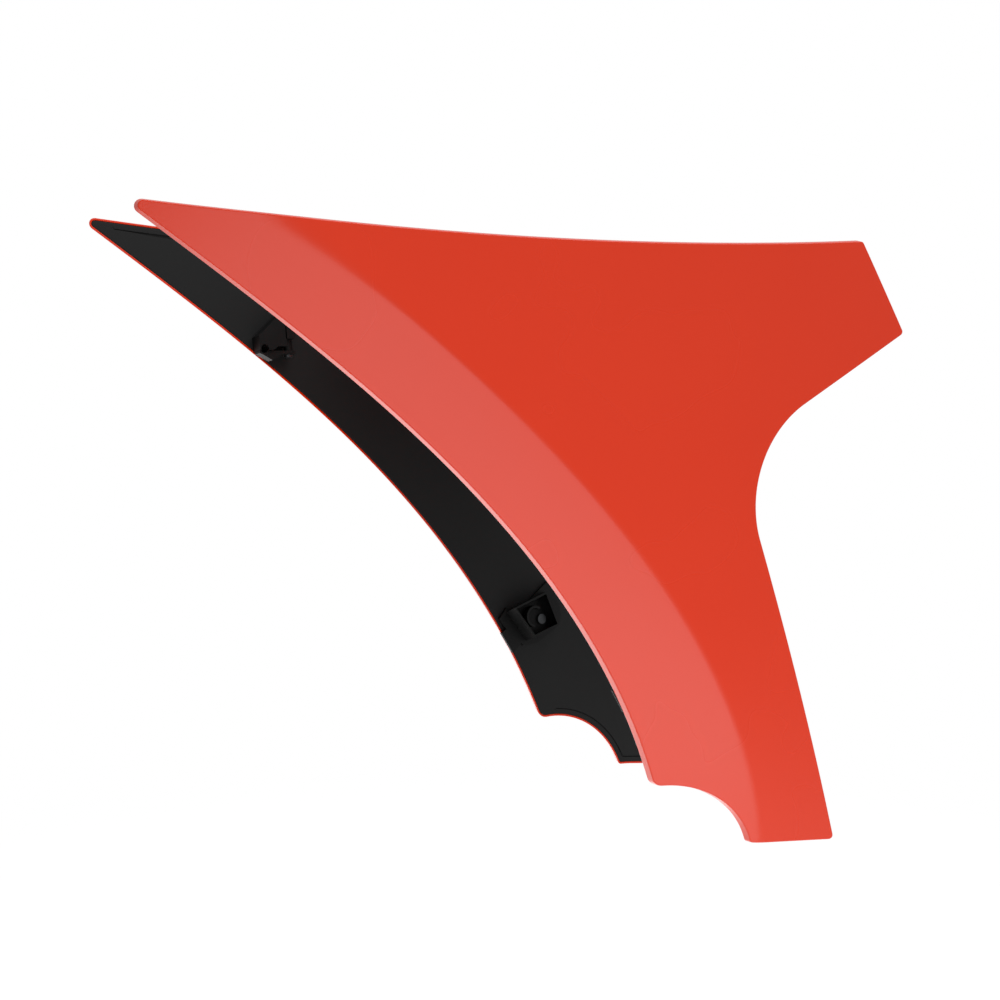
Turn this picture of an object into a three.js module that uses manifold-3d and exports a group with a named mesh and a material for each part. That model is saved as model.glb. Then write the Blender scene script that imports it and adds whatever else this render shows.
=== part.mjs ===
// Racing rear wing: two handed, moulded end plates joined by one wing plane, each with a swing-jaw
// tube clamp and a frame socket on its inner face.  Millimetres.  +X is forward, +Y is left, +Z is up.
import * as THREE from 'three';
import { mergeVertices } from 'three/addons/utils/BufferGeometryUtils.js';
import Module from 'manifold-3d';

// ---- driving dimensions -------------------------------------------------------------------
// The plate outline is drawn in the side view (x forward, z up) from the tail nose at x = 0, z = 0.
const NOSE_RADIUS = 5.4;
const TOP_EDGE_START = [6.0, 5.4];
const TOP_EDGE_SAG = [330, -29.5];
const FRONT_TOP_CORNER = [654.4, -13.5];
const FRONT_LOW_CORNER = [701.3, -99.5];
const CROOK_CORNER = [514.4, -205];
const TOE_CORNER = [657.2, -597];
const HEEL_CENTRE = [559.8, -580.1];
const ARCH_CENTRE = [461.6, -616.4];
const CHIN_CENTRE = [462.3, -504.7];
const REAR_EDGE_BEND = [[153.7, -118.4], [363.5, -272]];
const CORNER_RADIUS = 5;
const CROOK_RADIUS = 100;
const ARCH_RADIUS = 99.7;
const CHIN_RADIUS = 12;

// The plate's outer face is a barrel bent about a fore-and-aft axis, cut by one flat facet that
// makes the crease and runs the whole length of the lower rear edge.
const HALF_WIDTH = 159.5;
const BARREL_RADIUS = 2474;
const BARREL_HEIGHT = -241.4;
const FACET_AT_NOSE = 128.4;
const FACET_SLOPE_X = 0.1958;
const FACET_SLOPE_Z = 0.1774;

const FIT_GAP = 0.3;
const SKIN_WALL = 2.2;
const RIM_WALL = 2;
const RIM_DEPTH = 8.5;
const LINER_RECESS = 0.1;
const LINER_WALL = 2;
const LINER_DEPTH = RIM_DEPTH - LINER_RECESS;
const SEAT_DEPTH = RIM_DEPTH + FIT_GAP;
const BOSS_RADIUS = 6;

const SCREW_RADIUS = 2.5;
const SCREW_HEAD_RADIUS = 4.5;
const SCREW_HEAD_HEIGHT = 2.6;
const BORE_RADIUS = SCREW_RADIUS + FIT_GAP;

// Upper clamp, for a 16 mm frame tube that crosses from plate to plate.
const CLAMP_AT = [165, -108];
const CLAMP_STANDOFF = 16;
const CLAMP_BLOCK = [
  [-17.2, 2], [7.8, 24], [20.8, 20], [20.8, -0.8], [11.6, -0.8], [11.6, -8.2], [2.8, -8.2], [-3, -11.9],
  [-17.2, -11.9],
];
const CLAMP_SCREWS = [[-4, 3], [10, 12]];
const ROD_RADIUS = 4;
const ROD_AT = [-11.9, -10.4];
const JAW_TOP = -12.3;
const JAW_EAR = -15.5;
const JAW_OUTLINE = [
  [-16.6, JAW_TOP], [-16.6, -14.6], [-12, -16.8], [-4, -21.5], [8, JAW_EAR], [21, JAW_EAR], [21, JAW_TOP],
];
const JAW_DEPTH = [-13.5, -2.5];
const PIVOT_X = 16.1;
const KNUCKLE_RADIUS = 4.2;

// Lower socket, a tapered box on a broad foot that slips over a frame lug.
const SOCKET_AT = [453, -404];
const SOCKET_DEPTH = 16;
const SOCKET_WALL = 2.5;
const SOCKET_FOOT_WALL = 3.5;
const SOCKET_RIM = [[-37.5, 8.1], [5, 21], [18.2, -16], [-15.3, -25.5]];
const SOCKET_ROOT = [[-38, 3.5], [14, 19.5], [28, -16], [-15, -30]];
const SOCKET_FOOT = [
  [-47.6, -2.7], [-37.3, 7.9], [-26.7, 8], [-5.4, 14.1], [15, 28.1], [20.6, 31], [26.9, 17.4],
  [30.2, 10.9], [34.3, -6.7], [30.7, -17.7], [-0.5, -33.8], [-18.9, -34.4], [-39, -16],
];
const SOCKET_TAB = [[-36, -12], [-46.7, -18.1], [-34, -40.6], [-21, -31]];
const SOCKET_SCREWS = [[-39, -3], [29, -3]];
const CLIP_AT = [-9.1, -4.2];
const CLIP_RADIUS = 11.5;
const CLIP_WALL = 2.4;
const SOCKET_BOLT_AT = [4, -8.3];
const SOCKET_BOLT_RADIUS = 3;

// Wing plane, its spar and its end brackets.  The plane turns about its spar's axis.
const PLANE_AT = [410, -84];
const PLANE_CHORD = 250;
const PLANE_THICKNESS = 0.13;
const PLANE_CAMBER = 0.05;
const PLANE_ANGLE = 8;
const PLANE_HALF_SPAN = 137;
const PLANE_STATIONS = 16;
const PLANE_WALL = 1.8;
const TRAILING_EDGE = 2.6;
const SPAR_STATION = 0.35;
const SPAR_RADIUS = 8;
const SPAR_WALL = 1.6;
const SPAR_END = 143;
const BRACKET_SIZE = [150, 44];
const BRACKET_FACE = PLANE_HALF_SPAN + FIT_GAP;
const BRACKET_SCREWS = [-58, 58];
const SCREW_SEAT = BRACKET_FACE + 4.2;
const LIP_HEIGHT = 12;
const LIP_FOOT = 9;
const LIP_WALL = 1.6;

// ---- finishes -----------------------------------------------------------------------------
function finish(color, roughness, metalness) {
  return new THREE.MeshStandardMaterial({ color, roughness, metalness });
}
const GLOSS_RED = finish(0xd6402a, 0.25, 0);
const LINER_BLACK = finish(0x262626, 0.6, 0);
const BRACKET_BLACK = finish(0x121212, 0.5, 0);
const CORE_FOAM = finish(0x1b1b1b, 0.9, 0);
const ZINC_STEEL = finish(0xa9abad, 0.35, 0.9);
const SPAR_ALUMINIUM = finish(0xc2c5c8, 0.35, 0.9);

// ---- solid helpers ------------------------------------------------------------------------
const wasm = await Module();
wasm.setup();

function solid(geometry) {
  const bare = geometry.clone();
  bare.deleteAttribute('normal');
  bare.deleteAttribute('uv');
  const merged = mergeVertices(bare, 1e-4);
  const vertProperties = new Float32Array(merged.attributes.position.array);
  const triVerts = new Uint32Array(merged.index.array);
  return new wasm.Manifold(new wasm.Mesh({ numProp: 3, vertProperties, triVerts }));
}

function toGeometry(manifold) {
  const mesh = manifold.getMesh();
  const geometry = new THREE.BufferGeometry();
  geometry.setAttribute('position', new THREE.BufferAttribute(new Float32Array(mesh.vertProperties), 3));
  geometry.setIndex(new THREE.BufferAttribute(new Uint32Array(mesh.triVerts), 1));
  geometry.computeVertexNormals();
  return geometry;
}

// Cuts every tool away from a body; adds every extra to it first.
function shaped(body, extras, cuts) {
  let result = solid(body);
  for (const extra of extras) {
    result = result.add(solid(extra));
  }
  for (const cut of cuts) {
    result = result.subtract(solid(cut));
  }
  return toGeometry(result);
}

// A side-view outline of [x, z] points, or a Shape, given thickness from y = from to y = to.
function slab(outline, from, to, curveSegments = 12) {
  const fromPoints = (points) => new THREE.Shape(points.map(([x, z]) => new THREE.Vector2(x, z)));
  const shape = Array.isArray(outline) ? fromPoints(outline) : outline;
  const geometry = new THREE.ExtrudeGeometry(shape, { depth: to - from, bevelEnabled: false, curveSegments });
  geometry.rotateX(Math.PI / 2);
  geometry.translate(0, to, 0);
  return geometry;
}

function rod(radius, from, to, axis, segments = 24) {
  const geometry = new THREE.CylinderGeometry(radius, radius, to - from, segments);
  geometry.translate(0, (from + to) / 2, 0);
  if (axis === 'z') {
    geometry.rotateX(Math.PI / 2);
  }
  return geometry;
}

function moved(geometry, x, y, z) {
  geometry.translate(x, y, z);
  return geometry;
}

// Turns a left-hand shape into its right-hand mirror image across y = 0.
function mirrored(geometry) {
  const copy = mergeVertices(geometry.clone(), 1e-5);
  copy.scale(1, -1, 1);
  const index = copy.index.array;
  for (let i = 0; i < index.length; i += 3) {
    [index[i + 1], index[i + 2]] = [index[i + 2], index[i + 1]];
  }
  copy.computeVertexNormals();
  return copy;
}

// ---- plate outline ------------------------------------------------------------------------
function towards(from, to, distance) {
  const direction = new THREE.Vector2(to[0] - from[0], to[1] - from[1]).normalize();
  return [from[0] + direction.x * distance, from[1] + direction.y * distance];
}

// Rounds one straight-sided corner of the outline: a line up to it, then the tangent arc.
function roundCorner(path, before, corner, after, radius) {
  const a = new THREE.Vector2(before[0] - corner[0], before[1] - corner[1]).normalize();
  const b = new THREE.Vector2(after[0] - corner[0], after[1] - corner[1]).normalize();
  const half = Math.acos(THREE.MathUtils.clamp(a.dot(b), -1, 1)) / 2;
  const tangent = radius / Math.tan(half);
  const middle = a.clone().add(b).normalize().multiplyScalar(radius / Math.sin(half));
  const centre = [corner[0] + middle.x, corner[1] + middle.y];
  const start = towards(corner, before, tangent);
  const end = towards(corner, after, tangent);
  const startAngle = Math.atan2(start[1] - centre[1], start[0] - centre[0]);
  const endAngle = Math.atan2(end[1] - centre[1], end[0] - centre[0]);
  const clockwise = a.cross(b) > 0;
  path.lineTo(...start);
  path.absarc(...centre, radius, startAngle, endAngle, clockwise);
}

function angleBetween(from, to) {
  return Math.atan2(to[1] - from[1], to[0] - from[0]);
}

function plateOutline() {
  const path = new THREE.Path();
  path.moveTo(...TOP_EDGE_START);
  const topEnd = towards(FRONT_TOP_CORNER, TOP_EDGE_SAG, 2 * CORNER_RADIUS);
  path.quadraticCurveTo(...TOP_EDGE_SAG, ...topEnd);
  roundCorner(path, TOP_EDGE_SAG, FRONT_TOP_CORNER, FRONT_LOW_CORNER, CORNER_RADIUS);
  roundCorner(path, FRONT_TOP_CORNER, FRONT_LOW_CORNER, CROOK_CORNER, CORNER_RADIUS);
  roundCorner(path, FRONT_LOW_CORNER, CROOK_CORNER, TOE_CORNER, CROOK_RADIUS);
  const heelDown = [HEEL_CENTRE[0] - 0.12 * CORNER_RADIUS, HEEL_CENTRE[1] - 0.993 * CORNER_RADIUS];
  roundCorner(path, CROOK_CORNER, TOE_CORNER, heelDown, CORNER_RADIUS);
  const archToHeel = angleBetween(ARCH_CENTRE, HEEL_CENTRE);
  path.absarc(...HEEL_CENTRE, CORNER_RADIUS, angleBetween(HEEL_CENTRE, heelDown), archToHeel + Math.PI, true);
  path.absarc(...ARCH_CENTRE, ARCH_RADIUS, archToHeel, angleBetween(ARCH_CENTRE, CHIN_CENTRE), false);
  const rearNormal = THREE.MathUtils.degToRad(200.3);
  path.absarc(...CHIN_CENTRE, CHIN_RADIUS, angleBetween(CHIN_CENTRE, ARCH_CENTRE), rearNormal, true);
  const noseNormal = THREE.MathUtils.degToRad(233);
  const noseEnd = [NOSE_RADIUS * (1 + Math.cos(noseNormal)), NOSE_RADIUS * Math.sin(noseNormal)];
  path.bezierCurveTo(...REAR_EDGE_BEND[1], ...REAR_EDGE_BEND[0], ...noseEnd);
  path.absarc(NOSE_RADIUS, 0, NOSE_RADIUS, noseNormal, THREE.MathUtils.degToRad(84), true);
  return path;
}

// The outline as points, each stretch with only the segments its curve needs.
function outlinePoints() {
  const points = [];
  for (const curve of plateOutline().curves) {
    const steps = curve.isLineCurve ? 1 : Math.max(3, Math.ceil(curve.getLength() / 16));
    points.push(...curve.getPoints(steps));
  }
  return points.filter((point, i) => point.distanceTo(points[(i + 1) % points.length]) > 0.05);
}

// Moves every outline point inwards along its own normal.
function inset(points, distance) {
  return points.map((point, i) => {
    const before = points[(i + points.length - 1) % points.length];
    const after = points[(i + 1) % points.length];
    const along = after.clone().sub(before).normalize();
    return new THREE.Vector2(point.x + along.y * distance, point.y - along.x * distance);
  });
}

// ---- plate surfaces -----------------------------------------------------------------------
const FACET_NORMAL = new THREE.Vector3(-FACET_SLOPE_X, 1, -FACET_SLOPE_Z).normalize();

function facetY(x, z) {
  return FACET_AT_NOSE + FACET_SLOPE_X * x + FACET_SLOPE_Z * z;
}

// Everything inside the plate's outer face, moved in by a depth: the barrel cut by the facet.
function withinFace(depth) {
  const axisY = HALF_WIDTH - BARREL_RADIUS;
  const halfAngle = 400 / BARREL_RADIUS;
  const profile = new THREE.Shape();
  profile.moveTo(0, BARREL_HEIGHT - 400);
  profile.absarc(axisY, BARREL_HEIGHT, BARREL_RADIUS - depth, -halfAngle, halfAngle, false);
  profile.lineTo(0, BARREL_HEIGHT + 400);
  const barrel = new THREE.ExtrudeGeometry(profile, { depth: 900, bevelEnabled: false, curveSegments: 12 });
  const turned = new THREE.Matrix4().makeBasis(
    new THREE.Vector3(0, 1, 0), new THREE.Vector3(0, 0, 1), new THREE.Vector3(1, 0, 0),
  );
  barrel.applyMatrix4(turned);
  barrel.translate(-100, 0, 0);
  const block = new THREE.BoxGeometry(2400, 1000, 2400);
  block.translate(0, -500 - depth, 0);
  block.applyQuaternion(new THREE.Quaternion().setFromUnitVectors(new THREE.Vector3(0, 1, 0), FACET_NORMAL));
  block.translate(0, FACET_AT_NOSE, 0);
  return solid(barrel).intersect(solid(block));
}

const OUTLINE = outlinePoints();

function plateLayer(rimInset, outerDepth, innerDepth) {
  const prism = solid(slab(new THREE.Shape(inset(OUTLINE, rimInset)), 1, 200));
  return prism.intersect(withinFace(outerDepth)).subtract(withinFace(innerDepth));
}

// A frame that sits on the flat facet at a side-view place, a given depth in from the outer face.
function facetFrame(x, z, depth) {
  const frame = new THREE.Group();
  frame.position.set(x, facetY(x, z), z);
  frame.position.addScaledVector(FACET_NORMAL, -depth);
  frame.quaternion.setFromUnitVectors(new THREE.Vector3(0, 1, 0), FACET_NORMAL);
  frame.updateMatrixWorld();
  return frame;
}

const CLAMP_FRAME = facetFrame(...CLAMP_AT, SEAT_DEPTH);
const SOCKET_FRAME = facetFrame(...SOCKET_AT, SEAT_DEPTH);

function barrelY(z) {
  return HALF_WIDTH - (z - BARREL_HEIGHT) ** 2 / (2 * BARREL_RADIUS);
}

// The bores that a set of screws needs, in a frame of its own or in the plate's.
function bores(places, frame, radius, from, to) {
  return places.map(([x, z]) => {
    const tool = moved(rod(radius, from, to, 'y'), x, 0, z);
    return frame ? tool.applyMatrix4(frame.matrixWorld) : tool;
  });
}

const PLANE_SCREWS = BRACKET_SCREWS.map((x) => [PLANE_AT[0] + x, PLANE_AT[1]]);
const PLANE_SEAT = barrelY(PLANE_AT[1]) - SEAT_DEPTH;

// ---- plate shells -------------------------------------------------------------------------
function outerSkin() {
  const hollow = plateLayer(RIM_WALL, SKIN_WALL, RIM_DEPTH + 1);
  const room = plateLayer(RIM_WALL - 0.5, 0.6, LINER_DEPTH - LINER_WALL - FIT_GAP);
  let skin = plateLayer(0, 0, RIM_DEPTH).subtract(hollow);
  for (const boss of bores(PLANE_SCREWS, null, BOSS_RADIUS, PLANE_SEAT, PLANE_SEAT + 20)) {
    skin = skin.add(solid(boss).intersect(room));
  }
  for (const bore of bores(PLANE_SCREWS, null, BORE_RADIUS, PLANE_SEAT, PLANE_SEAT + RIM_DEPTH - 2.6)) {
    skin = skin.subtract(solid(bore));
  }
  return toGeometry(skin);
}

function innerLiner() {
  let liner = plateLayer(RIM_WALL + FIT_GAP, LINER_DEPTH - LINER_WALL, LINER_DEPTH);
  const through = [
    ...bores(PLANE_SCREWS, null, BORE_RADIUS, 80, 200),
    ...bores(CLAMP_SCREWS, CLAMP_FRAME, BORE_RADIUS, -10, 20),
    ...bores(SOCKET_SCREWS, SOCKET_FRAME, BORE_RADIUS, -10, 20),
  ];
  for (const bore of through) {
    liner = liner.subtract(solid(bore));
  }
  return toGeometry(liner);
}

// A screw along y with its head bearing on a face at `seat` and its tip at `tip`.
function panScrew(seat, tip, radius = SCREW_RADIUS, keyed = true) {
  const way = Math.sign(tip - seat);
  const ends = (a, b) => [Math.min(a, b), Math.max(a, b)];
  const shank = rod(radius, ...ends(seat - way, tip), 'y');
  const under = seat - way * FIT_GAP;
  const crown = under - way * SCREW_HEAD_HEIGHT;
  const head = rod((SCREW_HEAD_RADIUS / SCREW_RADIUS) * radius, ...ends(crown, under), 'y');
  const key = rod(1.7, ...ends(crown - way, crown + way * 1.6), 'y', 6);
  return shaped(head, [shank], keyed ? [key] : []);
}

// ---- upper clamp, in its own frame: y = 0 on the liner, y < 0 towards the other plate -------
function rodNotch() {
  return moved(rod(ROD_RADIUS, -CLAMP_STANDOFF - 5, 5, 'y', 32), ROD_AT[0], 0, ROD_AT[1]);
}

function pivotBore(from, to) {
  return moved(rod(BORE_RADIUS, from, to, 'z'), PIVOT_X, -CLAMP_STANDOFF / 2, 0);
}

function clampBody() {
  const fixings = bores(CLAMP_SCREWS, null, BORE_RADIUS, -12, 5);
  const groove = moved(new THREE.BoxGeometry(1.2, 6, 40), 11.6, -CLAMP_STANDOFF, 19);
  const block = slab(CLAMP_BLOCK, -CLAMP_STANDOFF, 0);
  return shaped(block, [], [rodNotch(), pivotBore(-5, 8), groove, ...fixings]);
}

// The keeper under the notch.  Its round knuckle turns on the pivot screw.
function clampJaw() {
  const knuckle = moved(rod(KNUCKLE_RADIUS, JAW_TOP - 1, -1.2, 'z'), PIVOT_X, -CLAMP_STANDOFF / 2, 0);
  return shaped(slab(JAW_OUTLINE, ...JAW_DEPTH), [knuckle], [rodNotch(), pivotBore(-30, 5)]);
}

function pivotScrew() {
  return moved(panScrew(JAW_EAR, 7).rotateX(Math.PI / 2), PIVOT_X, -CLAMP_STANDOFF / 2, 0);
}

// ---- lower socket, in its own frame: y = 0 on the liner -------------------------------------
// A straight-sided taper between two outlines with the same number of corners.
function taper(lower, upper, from, to) {
  const count = lower.length;
  const positions = [];
  for (const [x, z] of lower) {
    positions.push(x, from, z);
  }
  for (const [x, z] of upper) {
    positions.push(x, to, z);
  }
  const index = [];
  for (let i = 0; i < count; i += 1) {
    const next = (i + 1) % count;
    index.push(i, next, count + i, next, count + next, count + i);
  }
  for (let i = 1; i < count - 1; i += 1) {
    index.push(0, i + 1, i, count, count + i, count + i + 1);
  }
  const geometry = new THREE.BufferGeometry();
  geometry.setAttribute('position', new THREE.Float32BufferAttribute(positions, 3));
  geometry.setIndex(index);
  return geometry;
}

function shrunk(outline, distance) {
  const points = outline.map(([x, z]) => new THREE.Vector2(x, z));
  return inset(points, distance).map((point) => [point.x, point.y]);
}

function socketBoltBore() {
  const bore = rod(SOCKET_BOLT_RADIUS + FIT_GAP, -30, 5, 'y');
  return moved(bore, SOCKET_BOLT_AT[0], 0, SOCKET_BOLT_AT[1]);
}

function socketFoot() {
  const plate = slab(SOCKET_FOOT, -SOCKET_FOOT_WALL, 0);
  const tab = slab(SOCKET_TAB, -SOCKET_FOOT_WALL, -0.6);
  const screws = bores(SOCKET_SCREWS, null, BORE_RADIUS, -SOCKET_FOOT_WALL + 0.7, 5);
  return shaped(plate, [tab], [...screws, socketBoltBore()]);
}

function socketBox() {
  const rootY = -SOCKET_FOOT_WALL - FIT_GAP;
  const rimY = -SOCKET_DEPTH - SOCKET_FOOT_WALL;
  const outside = taper(SOCKET_RIM, SOCKET_ROOT, rimY, rootY);
  const innerRim = shrunk(SOCKET_RIM, SOCKET_WALL);
  const innerFloor = shrunk(SOCKET_ROOT, SOCKET_WALL + 0.5);
  const mouth = taper(innerRim, innerFloor, rimY - 1, rootY - SOCKET_WALL);
  return shaped(outside, [], [mouth, socketBoltBore()]);
}

// The curved guide inside the socket that the frame lug snaps behind.
function socketClip() {
  const floorY = -SOCKET_FOOT_WALL - SOCKET_WALL - 2 * FIT_GAP;
  const shape = new THREE.Shape();
  shape.absarc(...CLIP_AT, CLIP_RADIUS, 0.9, Math.PI + 1.4, false);
  shape.absarc(...CLIP_AT, CLIP_RADIUS - CLIP_WALL, Math.PI + 1.4, 0.9, true);
  return slab(shape, -SOCKET_DEPTH, floorY, 10);
}

// ---- wing plane ---------------------------------------------------------------------------
// The section's bowed mid-line and its half thickness, at a station t from the leading edge.
function planeCamber(t) {
  return -4 * PLANE_CAMBER * PLANE_CHORD * t * (1 - t);
}

function planeHalf(t) {
  const round = 0.2969 * Math.sqrt(t) - 0.126 * t - 0.3516 * t ** 2 + 0.2843 * t ** 3 - 0.1036 * t ** 4;
  return 5 * PLANE_THICKNESS * PLANE_CHORD * round + (TRAILING_EDGE / 2) * t;
}

// The section's outline about the spar, x forward, a given depth inside the true surface.
function planeSection(depth) {
  const upper = [];
  const lower = [];
  for (let i = 0; i <= PLANE_STATIONS; i += 1) {
    const t = (1 - Math.cos((Math.PI * i) / PLANE_STATIONS)) / 2;
    const half = planeHalf(t) - depth;
    const camber = planeCamber(t);
    const x = (SPAR_STATION - t) * PLANE_CHORD;
    if (half > 0.5) {
      upper.push([x, camber + half]);
      lower.unshift([x, camber - half]);
    } else if (depth === 0) {
      upper.push([x, camber]);
    }
  }
  return [...upper, ...lower];
}

const SPAR_CAMBER = planeCamber(SPAR_STATION);

function planeSkin() {
  const inside = slab(planeSection(PLANE_WALL), -PLANE_HALF_SPAN - 5, PLANE_HALF_SPAN + 5);
  return shaped(slab(planeSection(0), -PLANE_HALF_SPAN, PLANE_HALF_SPAN), [], [inside]);
}

function planeCore() {
  const bore = moved(rod(SPAR_RADIUS + FIT_GAP, -200, 200, 'y'), 0, 0, SPAR_CAMBER);
  const halfLength = PLANE_HALF_SPAN - 1;
  return shaped(slab(planeSection(PLANE_WALL + FIT_GAP), -halfLength, halfLength), [], [bore]);
}

function sparTube() {
  const tube = rod(SPAR_RADIUS, -SPAR_END, SPAR_END, 'y');
  const bore = rod(SPAR_RADIUS - SPAR_WALL, -SPAR_END - 5, SPAR_END + 5, 'y');
  return moved(shaped(tube, [], [bore]), 0, 0, SPAR_CAMBER);
}

// The small angle strip on the trailing edge: a foot on the top surface and an upright lip.
function trailingLip() {
  const tail = (SPAR_STATION - 1) * PLANE_CHORD;
  const seat = planeHalf(1) + FIT_GAP;
  const front = 1 - LIP_FOOT / PLANE_CHORD;
  const frontSeat = planeCamber(front) + planeHalf(front) + FIT_GAP;
  return slab([
    [tail, seat], [tail, seat + LIP_HEIGHT], [tail + LIP_WALL, seat + LIP_HEIGHT],
    [tail + LIP_WALL, seat + LIP_WALL], [tail + LIP_FOOT, frontSeat + LIP_WALL],
    [tail + LIP_FOOT, frontSeat],
  ], -PLANE_HALF_SPAN, PLANE_HALF_SPAN);
}

function planeBracket(sparX, sparZ) {
  const [length, height] = BRACKET_SIZE;
  const radius = height / 2;
  const [x, z] = PLANE_AT;
  const shape = new THREE.Shape();
  shape.absarc(x + length / 2 - radius, z, radius, -Math.PI / 2, Math.PI / 2, false);
  shape.absarc(x - length / 2 + radius, z, radius, Math.PI / 2, Math.PI * 1.5, false);
  const blank = solid(slab(shape, BRACKET_FACE, 200, 10)).intersect(withinFace(SEAT_DEPTH));
  const socket = rod(SPAR_RADIUS + FIT_GAP, BRACKET_FACE - 5, SPAR_END + FIT_GAP, 'y');
  const cuts = [
    moved(socket, sparX, 0, sparZ),
    ...bores(PLANE_SCREWS, null, BORE_RADIUS, BRACKET_FACE - 5, 200),
    ...bores(PLANE_SCREWS, null, SCREW_HEAD_RADIUS + FIT_GAP, BRACKET_FACE - 5, SCREW_SEAT),
  ];
  return shaped(toGeometry(blank), [], cuts);
}

// ---- assembly -----------------------------------------------------------------------------
function part(name, geometry, material) {
  const mesh = new THREE.Mesh(geometry, material);
  mesh.name = name;
  return mesh;
}

// The pieces of one left-hand end plate, each with the frame that it sits in.
function sidePieces() {
  const behindLiner = SEAT_DEPTH - LINER_DEPTH + LINER_WALL;
  const pieces = [
    ['outer_skin', outerSkin(), GLOSS_RED, null],
    ['inner_liner', innerLiner(), LINER_BLACK, null],
    ['clamp_body', clampBody(), BRACKET_BLACK, CLAMP_FRAME],
    ['clamp_jaw', clampJaw(), BRACKET_BLACK, CLAMP_FRAME],
    ['clamp_pivot_screw', pivotScrew(), ZINC_STEEL, CLAMP_FRAME],
    ['socket_foot', socketFoot(), BRACKET_BLACK, SOCKET_FRAME],
    ['socket_box', socketBox(), BRACKET_BLACK, SOCKET_FRAME],
    ['socket_clip', socketClip(), BRACKET_BLACK, SOCKET_FRAME],
    ['plane_bracket', planeBracket(...sparPlace()), BRACKET_BLACK, null],
  ];
  const clampFixings = CLAMP_SCREWS.map(([x, z]) => moved(panScrew(behindLiner, -11), x, 0, z));
  const footScrew = () => panScrew(behindLiner, -SOCKET_FOOT_WALL + 1);
  const footFixings = SOCKET_SCREWS.map(([x, z]) => moved(footScrew(), x, 0, z));
  const floor = -SOCKET_FOOT_WALL - FIT_GAP - SOCKET_WALL;
  const socketBolt = moved(
    panScrew(floor, 0, SOCKET_BOLT_RADIUS, false), SOCKET_BOLT_AT[0], 0, SOCKET_BOLT_AT[1],
  );
  const planeScrew = () => panScrew(SCREW_SEAT, PLANE_SEAT + 5.4);
  const planeFixings = PLANE_SCREWS.map(([x, z]) => moved(planeScrew(), x, 0, z));
  pieces.push(['socket_bolt', socketBolt, ZINC_STEEL, SOCKET_FRAME]);
  const screwSets = [
    ['clamp_fixing', clampFixings, CLAMP_FRAME], ['foot_fixing', footFixings, SOCKET_FRAME],
    ['plane_fixing', planeFixings, null],
  ];
  for (const [name, screws, frame] of screwSets) {
    screws.forEach((screw, i) => pieces.push([`${name}_${i + 1}`, screw, ZINC_STEEL, frame]));
  }
  return pieces;
}

// Where the tilted plane puts its spar, in the side view.
function sparPlace() {
  const turn = THREE.MathUtils.degToRad(PLANE_ANGLE);
  return [PLANE_AT[0] + SPAR_CAMBER * Math.sin(turn), PLANE_AT[1] + SPAR_CAMBER * Math.cos(turn)];
}

function endPlate(side, pieces) {
  const plate = new THREE.Group();
  for (const [name, geometry, material, frame] of pieces) {
    const mesh = part(`${side}_${name}`, side === 'left' ? geometry : mirrored(geometry), material);
    if (frame) {
      mesh.position.copy(frame.position);
      mesh.quaternion.copy(frame.quaternion);
    }
    if (side === 'right') {
      mesh.position.y *= -1;
      mesh.quaternion.x *= -1;
      mesh.quaternion.z *= -1;
    }
    plate.add(mesh);
  }
  return plate;
}

function wingPlane() {
  const plane = new THREE.Group();
  plane.position.set(PLANE_AT[0], 0, PLANE_AT[1]);
  plane.rotation.y = THREE.MathUtils.degToRad(PLANE_ANGLE);
  plane.add(part('plane_skin', planeSkin(), GLOSS_RED));
  plane.add(part('plane_core', planeCore(), CORE_FOAM));
  plane.add(part('spar_tube', sparTube(), SPAR_ALUMINIUM));
  plane.add(part('trailing_lip', trailingLip(), LINER_BLACK));
  return plane;
}

const group = new THREE.Group();
const pieces = sidePieces();
group.add(endPlate('left', pieces), endPlate('right', pieces), wingPlane());

// The origin is the middle of the underside of the whole wing's box.
const box = new THREE.Box3().setFromObject(group, true);
const centre = box.getCenter(new THREE.Vector3());
group.position.set(-centre.x, 0, -box.min.z);
group.updateMatrixWorld(true);

export default group;
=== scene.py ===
# Racing rear wing: the looks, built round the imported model.  Metres, +X forward, +Y left, +Z up.
import math

import bmesh
import bpy
import numpy as np
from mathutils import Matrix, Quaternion, Vector
from mathutils.geometry import delaunay_2d_cdt


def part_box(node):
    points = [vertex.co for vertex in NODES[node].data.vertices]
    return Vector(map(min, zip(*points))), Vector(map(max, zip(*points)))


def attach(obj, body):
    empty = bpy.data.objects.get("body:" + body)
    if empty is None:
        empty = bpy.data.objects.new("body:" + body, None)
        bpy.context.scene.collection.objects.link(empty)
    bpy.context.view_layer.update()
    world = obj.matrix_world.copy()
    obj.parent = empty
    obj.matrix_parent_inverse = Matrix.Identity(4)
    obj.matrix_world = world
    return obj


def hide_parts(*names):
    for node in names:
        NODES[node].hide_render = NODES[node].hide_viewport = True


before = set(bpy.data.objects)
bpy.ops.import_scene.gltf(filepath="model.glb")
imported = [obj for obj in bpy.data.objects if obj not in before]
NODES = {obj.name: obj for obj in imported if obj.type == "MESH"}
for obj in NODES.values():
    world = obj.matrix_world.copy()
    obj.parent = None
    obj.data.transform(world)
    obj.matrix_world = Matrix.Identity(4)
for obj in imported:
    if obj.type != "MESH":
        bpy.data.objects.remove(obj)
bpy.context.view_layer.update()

# ---- outer skins ---------------------------------------------------------------------------
# Each end plate is one thin shell of red ABS, vacuum formed over a smooth tool and trimmed.  Its
# face is a very flat barrel that meets one flat facet in a crease, and the rim folds back 8.5 mm.
# The outline is drawn in the side view, in millimetres from the tail nose, and lifted on to the face.
MM = 0.001
NOSE_RADIUS = 5.4
skin_low, skin_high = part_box("left_outer_skin")
TAIL = Vector((skin_low.x, 0, skin_high.z - NOSE_RADIUS * MM))
TOP_EDGE = [(6.0, 5.4), (330, -29.5), (644.42, -13.99)]
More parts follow.
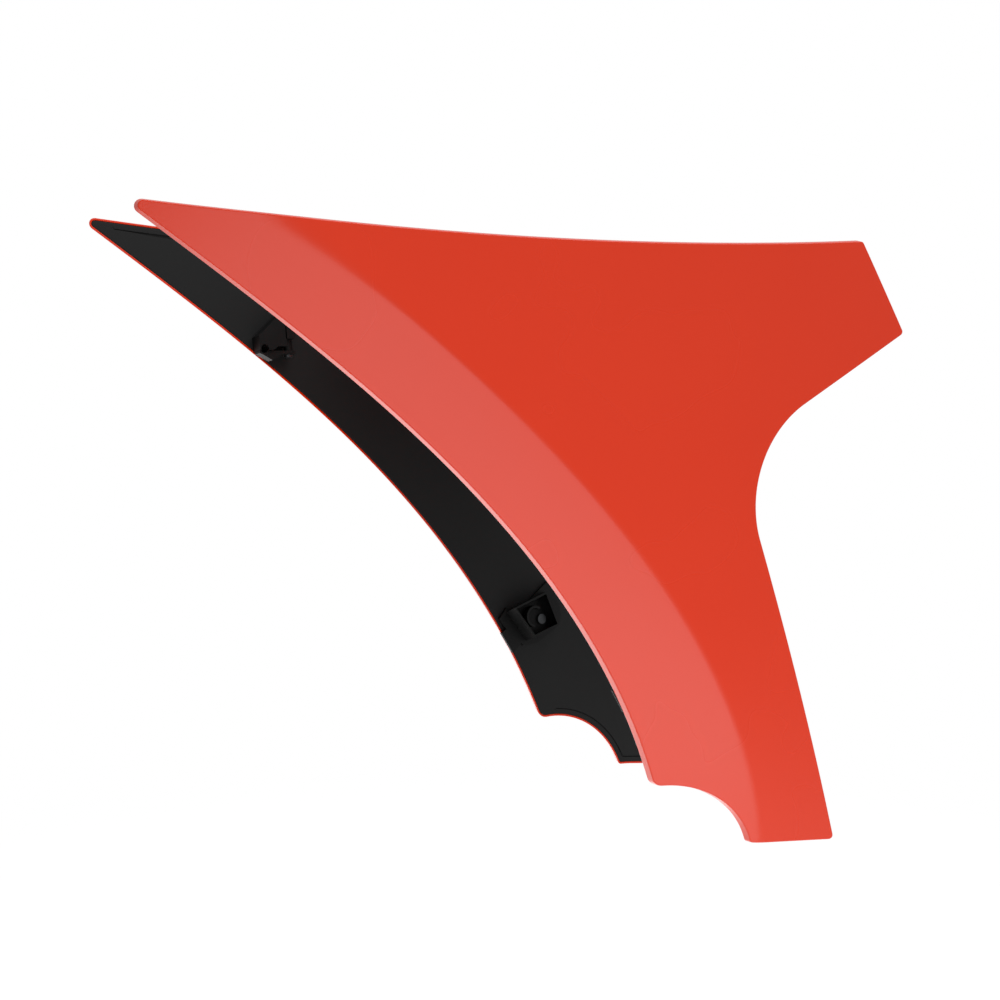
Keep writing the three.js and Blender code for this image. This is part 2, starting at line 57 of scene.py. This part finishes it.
FRONT_TOP_CORNER = (654.4, -13.5)
FRONT_LOW_CORNER = (701.3, -99.5)
CROOK_CORNER = (514.4, -205)
TOE_CORNER = (657.2, -597)
HEEL_CENTRE = (559.8, -580.1)
ARCH_CENTRE = (461.6, -616.4)
CHIN_CENTRE = (462.3, -504.7)
REAR_EDGE_BEND = [(363.5, -272), (153.7, -118.4)]
CORNER_RADIUS = 5
CROOK_RADIUS = 100
ARCH_RADIUS = 99.7
CHIN_RADIUS = 12


def bezier(points, steps):
    """Points along a quadratic or cubic curve, without its first point."""
    t = np.linspace(0, 1, steps + 1)[1:, None]
    p = np.array(points, float)[:, None, :]
    while len(p) > 1:
        p = p[:-1] * (1 - t) + p[1:] * t
    return p[0]


def arc(centre, radius, start, end, step=2.5):
    """Points on a circle from one angle to another, as fine as a small or a large radius needs."""
    steps = max(7, int(abs(end - start) * radius / step))
    angles = np.linspace(start, end, steps + 1)
    return np.array(centre) + radius * np.stack([np.cos(angles), np.sin(angles)], 1)


def bearing(a, b):
    """The angle of the line from one point to another."""
    return math.atan2(b[1] - a[1], b[0] - a[0])


def corner(before, at, after, radius):
    """The arc that rounds a corner between two straight edges."""
    at = np.array(at, float)
    a = (before - at) / np.linalg.norm(before - at)
    b = (after - at) / np.linalg.norm(after - at)
    half = math.acos(a @ b) / 2
    centre = at + (a + b) / np.linalg.norm(a + b) * radius / math.sin(half)
    start = at + a * radius / math.tan(half)
    end = at + b * radius / math.tan(half)
    first = bearing(centre, start)
    turn = (bearing(centre, end) - first + math.pi) % (2 * math.pi) - math.pi
    return arc(centre, radius, first, first + turn)


def spaced(points, step=3.0):
    """Adds points along the straight edges of an outline and drops the doubled ones."""
    out = []
    for a, b in zip(points, np.roll(points, -1, axis=0)):
        length = np.linalg.norm(b - a)
        if length > 0.06:
            count = max(1, int(round(length / step)))
            out.extend(a + (b - a) * i / count for i in range(count))
    return np.array(out)


# The toe's lower edge runs level into the heel's round; the chin's round ends where the rear edge starts.
heel_down = (HEEL_CENTRE[0] - 0.6, HEEL_CENTRE[1] - 4.965)
arch_to_heel = bearing(ARCH_CENTRE, HEEL_CENTRE)
chin_end = math.radians(200.3) - 2 * math.pi
nose_start = math.radians(233)
nose_end = (NOSE_RADIUS * (1 + math.cos(nose_start)), NOSE_RADIUS * math.sin(nose_start))
chin_finish = tuple(np.array(CHIN_CENTRE) + CHIN_RADIUS * np.array([math.cos(chin_end), math.sin(chin_end)]))
OUTLINE = spaced(np.concatenate([
    bezier(TOP_EDGE, 220),
    corner(TOP_EDGE[1], FRONT_TOP_CORNER, FRONT_LOW_CORNER, CORNER_RADIUS),
    corner(FRONT_TOP_CORNER, FRONT_LOW_CORNER, CROOK_CORNER, CORNER_RADIUS),
    corner(FRONT_LOW_CORNER, CROOK_CORNER, TOE_CORNER, CROOK_RADIUS),
    corner(CROOK_CORNER, TOE_CORNER, heel_down, CORNER_RADIUS),
    arc(HEEL_CENTRE, CORNER_RADIUS, bearing(HEEL_CENTRE, heel_down), arch_to_heel - math.pi),
    arc(ARCH_CENTRE, ARCH_RADIUS, arch_to_heel, bearing(ARCH_CENTRE, CHIN_CENTRE)),
    arc(CHIN_CENTRE, CHIN_RADIUS, bearing(CHIN_CENTRE, ARCH_CENTRE), chin_end),
    bezier([chin_finish, *REAR_EDGE_BEND, nose_end], 260),
    arc((NOSE_RADIUS, 0), NOSE_RADIUS, nose_start, math.radians(84)),
]))


def inward(points):
    """The unit normals of a clockwise outline, pointing into the plate."""
    along = np.roll(points, -1, axis=0) - np.roll(points, 1, axis=0)
    along /= np.linalg.norm(along, axis=1)[:, None]
    return np.stack([along[:, 1], -along[:, 0]], 1)


INWARD = inward(OUTLINE)


def ring(inset):
    """The outline moved into the plate by an even distance."""
    return OUTLINE + INWARD * inset


def edge_distance(points):
    """How far each point is from the plate's edge, positive inside."""
    gap = np.full(len(points), np.inf)
    side = np.zeros(len(points))
    for i, start in enumerate(OUTLINE):
        edge = OUTLINE[(i + 1) % len(OUTLINE)] - start
        t = np.clip(((points - start) @ edge) / (edge @ edge), 0, 1)
        offset = points - start - t[:, None] * edge
        distance = np.linalg.norm(offset, axis=1)
        nearer = distance < gap
        gap[nearer] = distance[nearer]
        side[nearer] = np.sign(edge[1] * offset[nearer, 0] - edge[0] * offset[nearer, 1])
    return gap * side


# The face, as a distance from the mid-plane.  The crease is tight low down and eases out at the top.
HALF_WIDTH = 159.5
BARREL_RADIUS = 2474
BARREL_HEIGHT = -241.4
FACET_AT_NOSE = 128.4
FACET_SLOPE = (0.1958, 0.1774)
CREASE_TIGHT = 0.9
CREASE_EASED = 4.6
CREASE_EASES_FROM = -95
CREASE_EASES_OVER = 85


def barrel(z):
    """The bowed main field, as half the width of the wing at a height."""
    return HALF_WIDTH - (z - BARREL_HEIGHT) ** 2 / (2 * BARREL_RADIUS)


def crease_width(z):
    """Over what difference between barrel and facet the two are blended."""
    t = np.clip((z - CREASE_EASES_FROM) / CREASE_EASES_OVER, 0, 1)
    return CREASE_TIGHT + (CREASE_EASED - CREASE_TIGHT) * t * t


def face(x, z):
    """The outer face: the nearer of barrel and facet, with the crease between them rounded."""
    facet = FACET_AT_NOSE + FACET_SLOPE[0] * x + FACET_SLOPE[1] * z
    width = crease_width(z)
    blend = np.maximum(width - np.abs(barrel(z) - facet), 0) / width
    return np.minimum(barrel(z), facet) - blend ** 2 * width / 4


def lifted(points, depth, side):
    """Side-view points on the plate, a depth in from its face, as metres in the wing's frame."""
    x, z = points[:, 0], points[:, 1]
    slope_x = (face(x + 0.5, z) - face(x - 0.5, z))
    slope_z = (face(x, z + 0.5) - face(x, z - 0.5))
    y = face(x, z) - depth * np.sqrt(1 + slope_x ** 2 + slope_z ** 2)
    return np.stack([x * MM + TAIL.x, y * MM * side, z * MM + TAIL.z], 1)


def crease_rows():
    """Rows of points along the crease, so that its round runs true."""
    z = np.arange(-600, 12, 3.0)
    rows = []
    for share in (-1.6, -1, -0.66, -0.33, 0, 0.33, 0.66, 1, 1.6):
        x = (barrel(z) - share * crease_width(z) - FACET_AT_NOSE - FACET_SLOPE[1] * z) / FACET_SLOPE[0]
        rows.append(np.stack([x, z], 1))
    return rows


def fill(boundary, rows, step):
    """Triangles inside a closed boundary: it keeps the rows, each with a depth or None, and adds a grid."""
    margin = edge_distance(boundary).min() + 1.2
    points = [boundary]
    depths = [np.full(len(boundary), np.nan)]
    edges = [(i, (i + 1) % len(boundary)) for i in range(len(boundary))]
    count = len(boundary)
    for row, depth in rows:
        inside = edge_distance(row) > margin
        index = np.cumsum(inside) - 1 + count
        edges += [(index[i], index[i + 1]) for i in range(len(row) - 1) if inside[i] and inside[i + 1]]
        points.append(row[inside])
        depths.append(np.full(int(inside.sum()), np.nan if depth is None else depth))
        count += int(inside.sum())
    kept = np.concatenate(points)
    low, high = boundary.min(0), boundary.max(0)
    across = np.arange(low[0], high[0], step)
    up = np.arange(low[1], high[1], step)
    grid = np.stack(np.meshgrid(across, up), -1).reshape(-1, 2)
    grid = grid[edge_distance(grid) > margin + step * 0.45]
    grid = grid[[np.abs(kept - p).sum(1).min() > step * 0.6 for p in grid]]
    result = delaunay_2d_cdt([Vector(p) for p in np.concatenate([kept, grid])], edges, [], 1, 1e-4)
    origin = [source[0] if source else -1 for source in result[3]]
    row_depth = np.concatenate([*depths, np.full(len(grid), np.nan)])
    new_depths = np.array([row_depth[o] if o >= 0 else np.nan for o in origin])
    return np.array([tuple(p) for p in result[0]]), new_depths, [tuple(f) for f in result[2]], origin


def shade(mesh, sharp_degrees):
    """Smooth shading, with a hard line wherever faces meet at more than an angle."""
    mesh.polygons.foreach_set("use_smooth", [True] * len(mesh.polygons))
    mesh.set_sharp_from_angle(angle=math.radians(sharp_degrees))


def piece(name, vertices, faces, sharp_degrees=50):
    """A new mesh object with outward faces, in the wing's frame."""
    mesh = bpy.data.meshes.new(name)
    mesh.from_pydata([tuple(v) for v in vertices], [], faces)
    shell = bmesh.new()
    shell.from_mesh(mesh)
    loose = [v for v in shell.verts if not v.link_faces]
    bmesh.ops.delete(shell, geom=loose, context="VERTS")
    bmesh.ops.recalc_face_normals(shell, faces=shell.faces)
    shell.to_mesh(mesh)
    shell.free()
    shade(mesh, sharp_degrees)
    made = bpy.data.objects.new(name, mesh)
    bpy.context.scene.collection.objects.link(made)
    return made


def plate_mouldings(name, rings, front_rows, back_rows, step):
    """The left and right copies of a closed sheet: a stack of (inset, depth) rings, filled at both ends."""
    count = len(OUTLINE)
    levels = [(ring(inset), np.full(count, float(depth))) for inset, depth in rings]
    faces = []
    for level in range(len(levels) - 1):
        a, b = level * count, (level + 1) * count
        faces += [(a + i, a + (i + 1) % count, b + (i + 1) % count, b + i) for i in range(count)]
    total = len(levels) * count
    for level, rows in ((0, front_rows), (len(levels) - 1, back_rows)):
        points, depths, triangles, origin = fill(levels[level][0], rows, step)
        depths[np.isnan(depths)] = rings[level][1]
        index = [level * count + o if 0 <= o < count else total + i for i, o in enumerate(origin)]
        faces += [tuple(index[i] for i in triangle) for triangle in triangles]
        levels.append((points, depths))
        total += len(points)
    flat = np.concatenate([points for points, _ in levels])
    depth = np.concatenate([depths for _, depths in levels])
    return [
        (piece(f"{side}_{name}", lifted(flat, depth, sign), faces), side)
        for side, sign in (("left", 1), ("right", -1))
    ]


RIM_DEPTH = 8.5
RIM_DRAFT = 1.3
FACE_ROUND = 1.0
round_over = [
    (RIM_DRAFT + FACE_ROUND * (1 - math.sin(a)), FACE_ROUND * (1 - math.cos(a)))
    for a in np.radians([0, 16, 32, 48, 64, 80])
]
skin_rings = [
    (4.2, 0), (2.7, 0), *round_over,
    (1.24, 1.3), (0.12, 7.5), (0.05, 7.95), (0.1, 8.25), (0.3, 8.43), (0.6, RIM_DEPTH),
    (1.6, RIM_DEPTH), (1.9, 8.4), (2.0, 8.1), (2.05, 3.0), (2.4, 2.5), (4.2, 2.2),
]
crease = [(row, None) for row in crease_rows()]
skins = plate_mouldings("skin", skin_rings, crease, crease, 9.0)


def srgb(code):
    """An sRGB hex colour as linear red, green, blue and alpha."""
    parts = [int(code[i:i + 2], 16) / 255 for i in (1, 3, 5)]
    return tuple(p / 12.92 if p <= 0.04045 else ((p + 0.055) / 1.055) ** 2.4 for p in parts) + (1,)


def add(tree, kind, inputs=None, **settings):
    """Adds a shader node, with its settings and with values or links on its inputs."""
    made = tree.nodes.new(kind)
    for key, value in settings.items():
        setattr(made, key, value)
    for key, value in (inputs or {}).items():
        if isinstance(value, bpy.types.NodeSocket):
            tree.links.new(value, made.inputs[key])
        else:
            made.inputs[key].default_value = value
    return made


def material(name):
    """An empty material, with its node tree and the place of a point on the wing in metres."""
    made = bpy.data.materials.new(name)
    made.use_nodes = True
    tree = made.node_tree
    tree.nodes.clear()
    return made, tree, add(tree, "ShaderNodeTexCoord").outputs["Object"]


def surface(tree, shader):
    """Ends a material's tree with its shader."""
    add(tree, "ShaderNodeOutputMaterial", {"Surface": shader.outputs[0]})


# Vacuum-formed red ABS: solid pigment with a smooth, glossy skin.  The sheet's gloss drifts a little
# over a hand's width, and a shallow orange peel of about 3 mm breaks up the reflections.
red_abs, tree, place = material("formed_red_abs")
drift = add(tree, "ShaderNodeTexNoise", {"Vector": place, "Scale": 7.0, "Detail": 2.0})
pigment = add(tree, "ShaderNodeMix", {
    "Factor": drift.outputs["Fac"], "A": srgb("#ce2b00"), "B": srgb("#d12e02"),
}, data_type="RGBA")
gloss = add(tree, "ShaderNodeMapRange", {
    "Value": drift.outputs["Fac"], "To Min": 0.24, "To Max": 0.3,
})
peel = add(tree, "ShaderNodeTexNoise", {"Vector": place, "Scale": 330.0, "Detail": 1.0})
relief = add(tree, "ShaderNodeBump", {"Height": peel.outputs["Fac"], "Strength": 0.012, "Distance": 0.0004})
surface(tree, add(tree, "ShaderNodeBsdfPrincipled", {
    "Base Color": pigment.outputs["Result"], "Roughness": gloss.outputs["Result"],
    "Normal": relief.outputs["Normal"], "IOR": 1.5, "Specular IOR Level": 0.42,
}))
for skin, side in skins:
    skin.data.materials.append(red_abs)
    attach(skin, "wing")
    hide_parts(f"{side}_outer_skin")

# ---- inner liners --------------------------------------------------------------------------
# A black ABS panel closes the hollow back of each plate, just inside the rim.  It's pressed from
# thin sheet with a fine grain, and a shallow drip groove runs round it a finger's width from the edge.
LINER_DEPTH = 8.4
GROOVE_DEPTH = 1.3
GROOVE_INSET = 7.4
GROOVE_WIDTH = 3.1
GROOVE_WIDTH_AT_TAIL = 0.8
GROOVE_WIDTH_IN_FRONT = 1.3
GROOVE_WIDTH_AT_CHIN = 0.8
GROOVE_END_GAP = 12
GROOVE_TAPER = 60
GROOVE_WALL = 0.25
path_length = np.concatenate([[0], np.cumsum(np.linalg.norm(np.diff(OUTLINE, axis=0), axis=1))])
at_front = path_length[np.argmin(np.linalg.norm(OUTLINE - np.array(FRONT_TOP_CORNER), axis=1))]
chin_low = np.array([CHIN_CENTRE[0], CHIN_CENTRE[1] - CHIN_RADIUS])
at_chin = path_length[np.argmin(np.linalg.norm(OUTLINE - chin_low, axis=1))]


def eased(value, start, end):
    """Rises smoothly from 0 to 1 between two values."""
    t = np.clip((value - start) / (end - start), 0, 1)
    return t * t * (3 - 2 * t)


def groove_rows():
    """The four lines of the groove: its outer lip, the two sides of its floor, and its inner lip."""
    opening = eased(path_length, GROOVE_END_GAP, GROOVE_END_GAP + 66)
    front = eased(path_length, at_front - GROOVE_TAPER, at_front)
    end = eased(path_length, at_chin - GROOVE_TAPER, at_chin - 20)
    width = GROOVE_WIDTH_AT_TAIL + (GROOVE_WIDTH - GROOVE_WIDTH_AT_TAIL) * opening
    width -= (GROOVE_WIDTH - GROOVE_WIDTH_IN_FRONT) * front
    width -= (GROOVE_WIDTH_IN_FRONT - GROOVE_WIDTH_AT_CHIN) * end
    reach = (path_length > GROOVE_END_GAP) & (path_length < at_chin - GROOVE_END_GAP)
    floor_depth = LINER_DEPTH - GROOVE_DEPTH
    lip, wall = np.zeros(len(width)), np.full(len(width), GROOVE_WALL)
    rows = []
    for offset, depth in (
        (lip, None), (wall, floor_depth), (width - GROOVE_WALL, floor_depth), (width, None),
    ):
        inset = GROOVE_INSET + offset
        points = OUTLINE + INWARD * inset[:, None]
        whole = reach & (edge_distance(points) > inset - 0.12)
        rows.append((points[whole], depth))
    return rows


groove = groove_rows()
lips = np.concatenate([row for row, _ in groove])
liner_crease = [
    (row[[np.abs(lips - p).sum(1).min() > 6 for p in row]], None) for row in crease_rows()[1:-1]
]
liner_rings = [
    (5.0, LINER_DEPTH), (3.1, LINER_DEPTH), (2.7, 8.36), (2.45, 8.2), (2.4, 7.9),
    (2.4, 6.7), (2.7, 6.42), (5.0, 6.4),
]
liners = plate_mouldings("liner", liner_rings, groove + liner_crease, [], 10.0)

# Pressed black ABS: satin, with a moulded-in grain.  The real grain is near 0.3 mm; here it's 0.8 mm,
# so that it shows as a soft break in the sheen.
black_abs, tree, place = material("grained_black_abs")
patches = add(tree, "ShaderNodeTexNoise", {"Vector": place, "Scale": 9.0, "Detail": 2.0})
tone = add(tree, "ShaderNodeMix", {
    "Factor": patches.outputs["Fac"], "A": srgb("#171717"), "B": srgb("#1a1a1a"),
}, data_type="RGBA")
grain = add(tree, "ShaderNodeTexVoronoi", {"Vector": place, "Scale": 1250.0}, feature="SMOOTH_F1")
relief = add(tree, "ShaderNodeBump", {
    "Height": grain.outputs["Distance"], "Strength": 0.12, "Distance": 0.0002,
})
surface(tree, add(tree, "ShaderNodeBsdfPrincipled", {
    "Base Color": tone.outputs["Result"], "Roughness": 0.55, "Normal": relief.outputs["Normal"], "IOR": 1.5,
    "Specular IOR Level": 0.18,
}))
for liner, side in liners:
    liner.data.materials.append(black_abs)
    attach(liner, "wing")
    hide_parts(f"{side}_inner_liner")


def dressed(name, finish, edge_mm, sharp_degrees=35):
    """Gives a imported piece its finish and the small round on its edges."""
    made = NODES[name]
    made.data.materials.clear()
    made.data.materials.append(finish)
    shade(made.data, sharp_degrees)
    if edge_mm:
        bevel = made.modifiers.new("edges", "BEVEL")
        bevel.width = edge_mm * MM
        bevel.segments = 2
        bevel.limit_method = "ANGLE"
        bevel.angle_limit = math.radians(sharp_degrees)
        bevel.harden_normals = True


# Glass-filled nylon 66, injection moulded: near black, satin, with a faint cloudy flow of the fibres.
black_nylon, tree, place = material("glass_filled_nylon")
flow = add(tree, "ShaderNodeTexNoise", {"Vector": place, "Scale": 160.0, "Detail": 4.0, "Distortion": 1.2})
tone = add(tree, "ShaderNodeMix", {
    "Factor": flow.outputs["Fac"], "A": srgb("#040404"), "B": srgb("#070707"),
}, data_type="RGBA")
satin = add(tree, "ShaderNodeMapRange", {"Value": flow.outputs["Fac"], "To Min": 0.42, "To Max": 0.58})
relief = add(tree, "ShaderNodeBump", {"Height": flow.outputs["Fac"], "Strength": 0.08, "Distance": 0.0002})
surface(tree, add(tree, "ShaderNodeBsdfPrincipled", {
    "Base Color": tone.outputs["Result"], "Roughness": satin.outputs["Result"],
    "Normal": relief.outputs["Normal"], "IOR": 1.53, "Specular IOR Level": 0.2,
}))

# Zinc-plated steel screws: a cool grey whose tone and roughness vary in fine spots, which spread the
# highlights.
zinc, tree, place = material("zinc_plated_steel")
spots = add(tree, "ShaderNodeTexNoise", {"Vector": place, "Scale": 700.0, "Detail": 2.0})
tone = add(tree, "ShaderNodeMix", {
    "Factor": spots.outputs["Fac"], "A": srgb("#4a4b4d"), "B": srgb("#56585a"),
}, data_type="RGBA")
dull = add(tree, "ShaderNodeMapRange", {"Value": spots.outputs["Fac"], "To Min": 0.3, "To Max": 0.44})
surface(tree, add(tree, "ShaderNodeBsdfPrincipled", {
    "Base Color": tone.outputs["Result"], "Roughness": dull.outputs["Result"], "Metallic": 1.0,
}))

for side in ("left", "right"):
    for part in ("clamp_body", "clamp_jaw", "socket_foot", "socket_box", "socket_clip", "plane_bracket"):
        dressed(f"{side}_{part}", black_nylon, 0.5)
    for part in (
        "clamp_pivot_screw", "clamp_fixing_1", "clamp_fixing_2", "socket_bolt",
        "foot_fixing_1", "foot_fixing_2", "plane_fixing_1", "plane_fixing_2",
    ):
        dressed(f"{side}_{part}", zinc, 0.35)

# ---- wing plane ------------------------------------------------------------------------------
# One fixed plane joins the plates: a cambered red ABS skin, hollow for its whole span, over a foam
# core and an aluminium spar tube, with a small black angle strip along the trailing edge.
CHORD = 250
THICKNESS = 0.13
CAMBER = 0.05
TRAILING_EDGE = 2.6
SPAR_STATION = 0.35
HALF_SPAN = 137
PLANE_ANGLE = math.radians(8)
PLANE_AT = (410, -84)
SECTION_POINTS = 64
SKIN_WALL = 1.8
LEAST_ROOM = 0.4


def half_thickness(t):
    """Half the plane's thickness at a share of the chord, with the trailing edge left blunt."""
    shape = 0.2969 * np.sqrt(t) - 0.126 * t - 0.3516 * t ** 2 + 0.2843 * t ** 3 - 0.1036 * t ** 4
    return 5 * THICKNESS * CHORD * shape + TRAILING_EDGE / 2 * t


def section(depth):
    """The plane's outline, a depth inside its surface, turned to its angle: side-view points.

    The hollow stops where less than the least room is left, near the two edges.
    """
    fine = np.linspace(0, 1, 4000)
    room = fine[half_thickness(fine) >= depth + (LEAST_ROOM if depth else 0)]
    spread = (1 - np.cos(np.linspace(0, math.pi, SECTION_POINTS))) / 2
    t = room[0] + (room[-1] - room[0]) * spread
    mid = -4 * CAMBER * CHORD * t * (1 - t)
    half = half_thickness(t) - depth
    upper = np.stack([(SPAR_STATION - t) * CHORD, mid + half], 1)
    lower = np.stack([(SPAR_STATION - t) * CHORD, mid - half], 1)
    loop = np.concatenate([upper, lower[::-1][:-1]])
    cos, sin = math.cos(PLANE_ANGLE), math.sin(PLANE_ANGLE)
    turn = np.array([[cos, -sin], [sin, cos]])
    return loop @ turn + np.array(PLANE_AT)


# Once round the skin's wall: each loop's depth inside the surface and its place across the wing.
around = [
    (0, -HALF_SPAN + 0.4), (0, HALF_SPAN - 0.4), (0.15, HALF_SPAN - 0.1), (0.4, HALF_SPAN),
    (SKIN_WALL - 0.2, HALF_SPAN), (SKIN_WALL, HALF_SPAN - 0.3), (SKIN_WALL, -HALF_SPAN + 0.3),
    (SKIN_WALL - 0.2, -HALF_SPAN), (0.4, -HALF_SPAN), (0.15, -HALF_SPAN + 0.1),
]
loops = []
for depth, y in around:
    loop = section(depth)
    across = np.full(len(loop), y * MM)
    loops.append(np.stack([loop[:, 0] * MM + TAIL.x, across, loop[:, 1] * MM + TAIL.z], 1))
size = len(loops[0])
faces = []
for k in range(len(loops)):
    a, b = k * size, (k + 1) % len(loops) * size
    faces += [(a + i, a + (i + 1) % size, b + (i + 1) % size, b + i) for i in range(size)]
plane = piece("plane_shell", np.concatenate(loops), faces, 40)
plane.data.materials.append(red_abs)
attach(plane, "wing")
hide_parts("plane_skin")

# Closed-cell polyurethane foam: dull straw colour with cells of about a millimetre.
foam, tree, place = material("plane_foam")
cells = add(tree, "ShaderNodeTexVoronoi", {"Vector": place, "Scale": 800.0})
tone = add(tree, "ShaderNodeMix", {
    "Factor": cells.outputs["Distance"], "A": srgb("#b3a98a"), "B": srgb("#cfc6aa"),
}, data_type="RGBA")
relief = add(tree, "ShaderNodeBump", {
    "Height": cells.outputs["Distance"], "Strength": 0.4, "Distance": 0.0004,
})
surface(tree, add(tree, "ShaderNodeBsdfPrincipled", {
    "Base Color": tone.outputs["Result"], "Roughness": 0.9, "Normal": relief.outputs["Normal"], "IOR": 1.5,
}))

# Drawn aluminium tube, clear anodised: pale, with fine lines along its length.
drawn, tree, place = material("drawn_aluminium")
along = add(tree, "ShaderNodeMapping", {"Vector": place, "Scale": (900.0, 12.0, 900.0)})
lines = add(tree, "ShaderNodeTexNoise", {"Vector": along.outputs["Vector"], "Scale": 1.0, "Detail": 3.0})
tone = add(tree, "ShaderNodeMix", {
    "Factor": lines.outputs["Fac"], "A": srgb("#bfc2c5"), "B": srgb("#cfd1d3"),
}, data_type="RGBA")
dull = add(tree, "ShaderNodeMapRange", {"Value": lines.outputs["Fac"], "To Min": 0.26, "To Max": 0.42})
surface(tree, add(tree, "ShaderNodeBsdfPrincipled", {
    "Base Color": tone.outputs["Result"], "Roughness": dull.outputs["Result"], "Metallic": 1.0,
}))
dressed("plane_core", foam, 0)
dressed("spar_tube", drawn, 0.3)
dressed("trailing_lip", black_abs, 0.3)

# ---- studio ----------------------------------------------------------------------------------
# A plain pale floor and a white surround.  A long slanting panel in front shows in the lower facets,
# one overhead and one low behind light the edges, and one that faces down keeps the floor pale.
scene = bpy.context.scene
scene.view_settings.view_transform = "Standard"
world = bpy.data.worlds.new("white_surround")
scene.world = world
world.use_nodes = True
surround = world.node_tree.nodes["Background"]
surround.inputs["Color"].default_value = (1, 1, 1, 1)
path = add(world.node_tree, "ShaderNodeLightPath")
level = add(world.node_tree, "ShaderNodeMapRange", {
    "Value": path.outputs["Is Camera Ray"], "To Min": 0.6, "To Max": 1.0,
})
world.node_tree.links.new(level.outputs["Result"], surround.inputs["Strength"])

FLOOR_HEIGHT = -0.9
FLOOR_REACH = 12
floor_mesh = bpy.data.meshes.new("floor")
corners = ((-1, -1), (1, -1), (1, 1), (-1, 1))
floor_mesh.from_pydata(
    [(x * FLOOR_REACH, y * FLOOR_REACH, FLOOR_HEIGHT) for x, y in corners], [], [(0, 1, 2, 3)],
)
floor = bpy.data.objects.new("floor", floor_mesh)
scene.collection.objects.link(floor)
paint, tree, place = material("pale_floor")
matt = add(tree, "ShaderNodeBsdfDiffuse", {"Color": srgb("#f7f7f7")})
radius = add(tree, "ShaderNodeVectorMath", {0: place}, operation="LENGTH")
fade = add(tree, "ShaderNodeMapRange", {"Value": radius.outputs["Value"], "From Min": 1.2, "From Max": 3.0})
clear = add(tree, "ShaderNodeBsdfTransparent")
surface(tree, add(tree, "ShaderNodeMixShader", {
    0: fade.outputs["Result"], 1: matt.outputs[0], 2: clear.outputs[0],
}))
floor.data.materials.append(paint)


def panel(name, at, towards, size, watts, roll=0):
    """A soft rectangular light that the camera doesn't see, turned by `roll` degrees on its axis."""
    lamp = bpy.data.lights.new(name, "AREA")
    lamp.shape = "RECTANGLE"
    lamp.size, lamp.size_y = size
    lamp.energy = watts
    made = bpy.data.objects.new(name, lamp)
    made.location = at
    aim = (Vector(towards) - Vector(at)).to_track_quat("-Z", "Y")
    made.rotation_euler = (aim @ Quaternion((0, 0, 1), math.radians(roll))).to_euler()
    made.visible_camera = False
    scene.collection.objects.link(made)


panel("low_front", (0.02, -1.0, -0.19), (0.02, 0, -0.19), (1.5, 0.5), 4.8, -48)
panel("overhead", (0.3, -0.4, 2.6), (0, 0, 0.3), (2.4, 2.4), 45)
panel("floor_wash", (0, 0, -0.25), (0, 0, -1), (7, 7), 62)
panel("low_behind", (-0.1, 1.0, -0.7), (0, 0, 0.2), (1.6, 1.2), 9)

lens = bpy.data.cameras.new("camera")
lens.lens = 50
lens.sensor_width = 36
camera = bpy.data.objects.new("camera", lens)
camera.location = (TAIL.x - 0.1812, -1.1998, TAIL.z - 0.0763)
azimuth, elevation = math.radians(-24.03), math.radians(7.84)
camera.rotation_euler = (math.pi / 2 - elevation, 0, azimuth)
scene.collection.objects.link(camera)
scene.camera = camera
